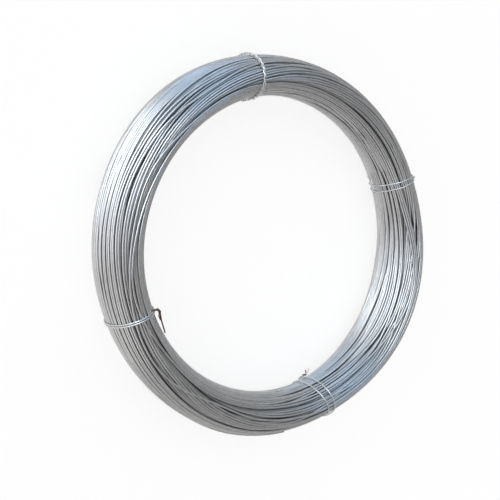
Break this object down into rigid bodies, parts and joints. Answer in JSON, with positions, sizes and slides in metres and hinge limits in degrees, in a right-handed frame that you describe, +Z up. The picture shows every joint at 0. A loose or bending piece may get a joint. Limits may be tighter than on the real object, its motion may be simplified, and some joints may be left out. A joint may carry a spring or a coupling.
{
  "type": "coil of galvanized iron wire",
  "caption": "Ring-shaped coil of galvanized iron wire, wound in close turns and bound round the bundle with twisted tie wires, lying flat on its side",
  "frame": {"origin": "on the coil's axis, at the level of the floor that the coil lies on", "axes": "+Z up along the coil's axis; X and Y across the ring; the ties are named by their side: left -X, right +X, front -Y, back +Y"},
  "size_m": [0.4708, 0.4708, 0.079],
  "materials": {
    "coil_wire": "bright zinc coat, drawn smooth, with darker gaps between the turns",
    "tie_wire": "thin galvanized wire, dull zinc, browned at the cut ends"
  },
  "bodies": {
    "root": {"wire_coil": "coil_wire", "tie_left": "tie_wire", "tie_back": "tie_wire", "tie_right": "tie_wire", "tie_front": "tie_wire"}
  },
  "joints": []
}
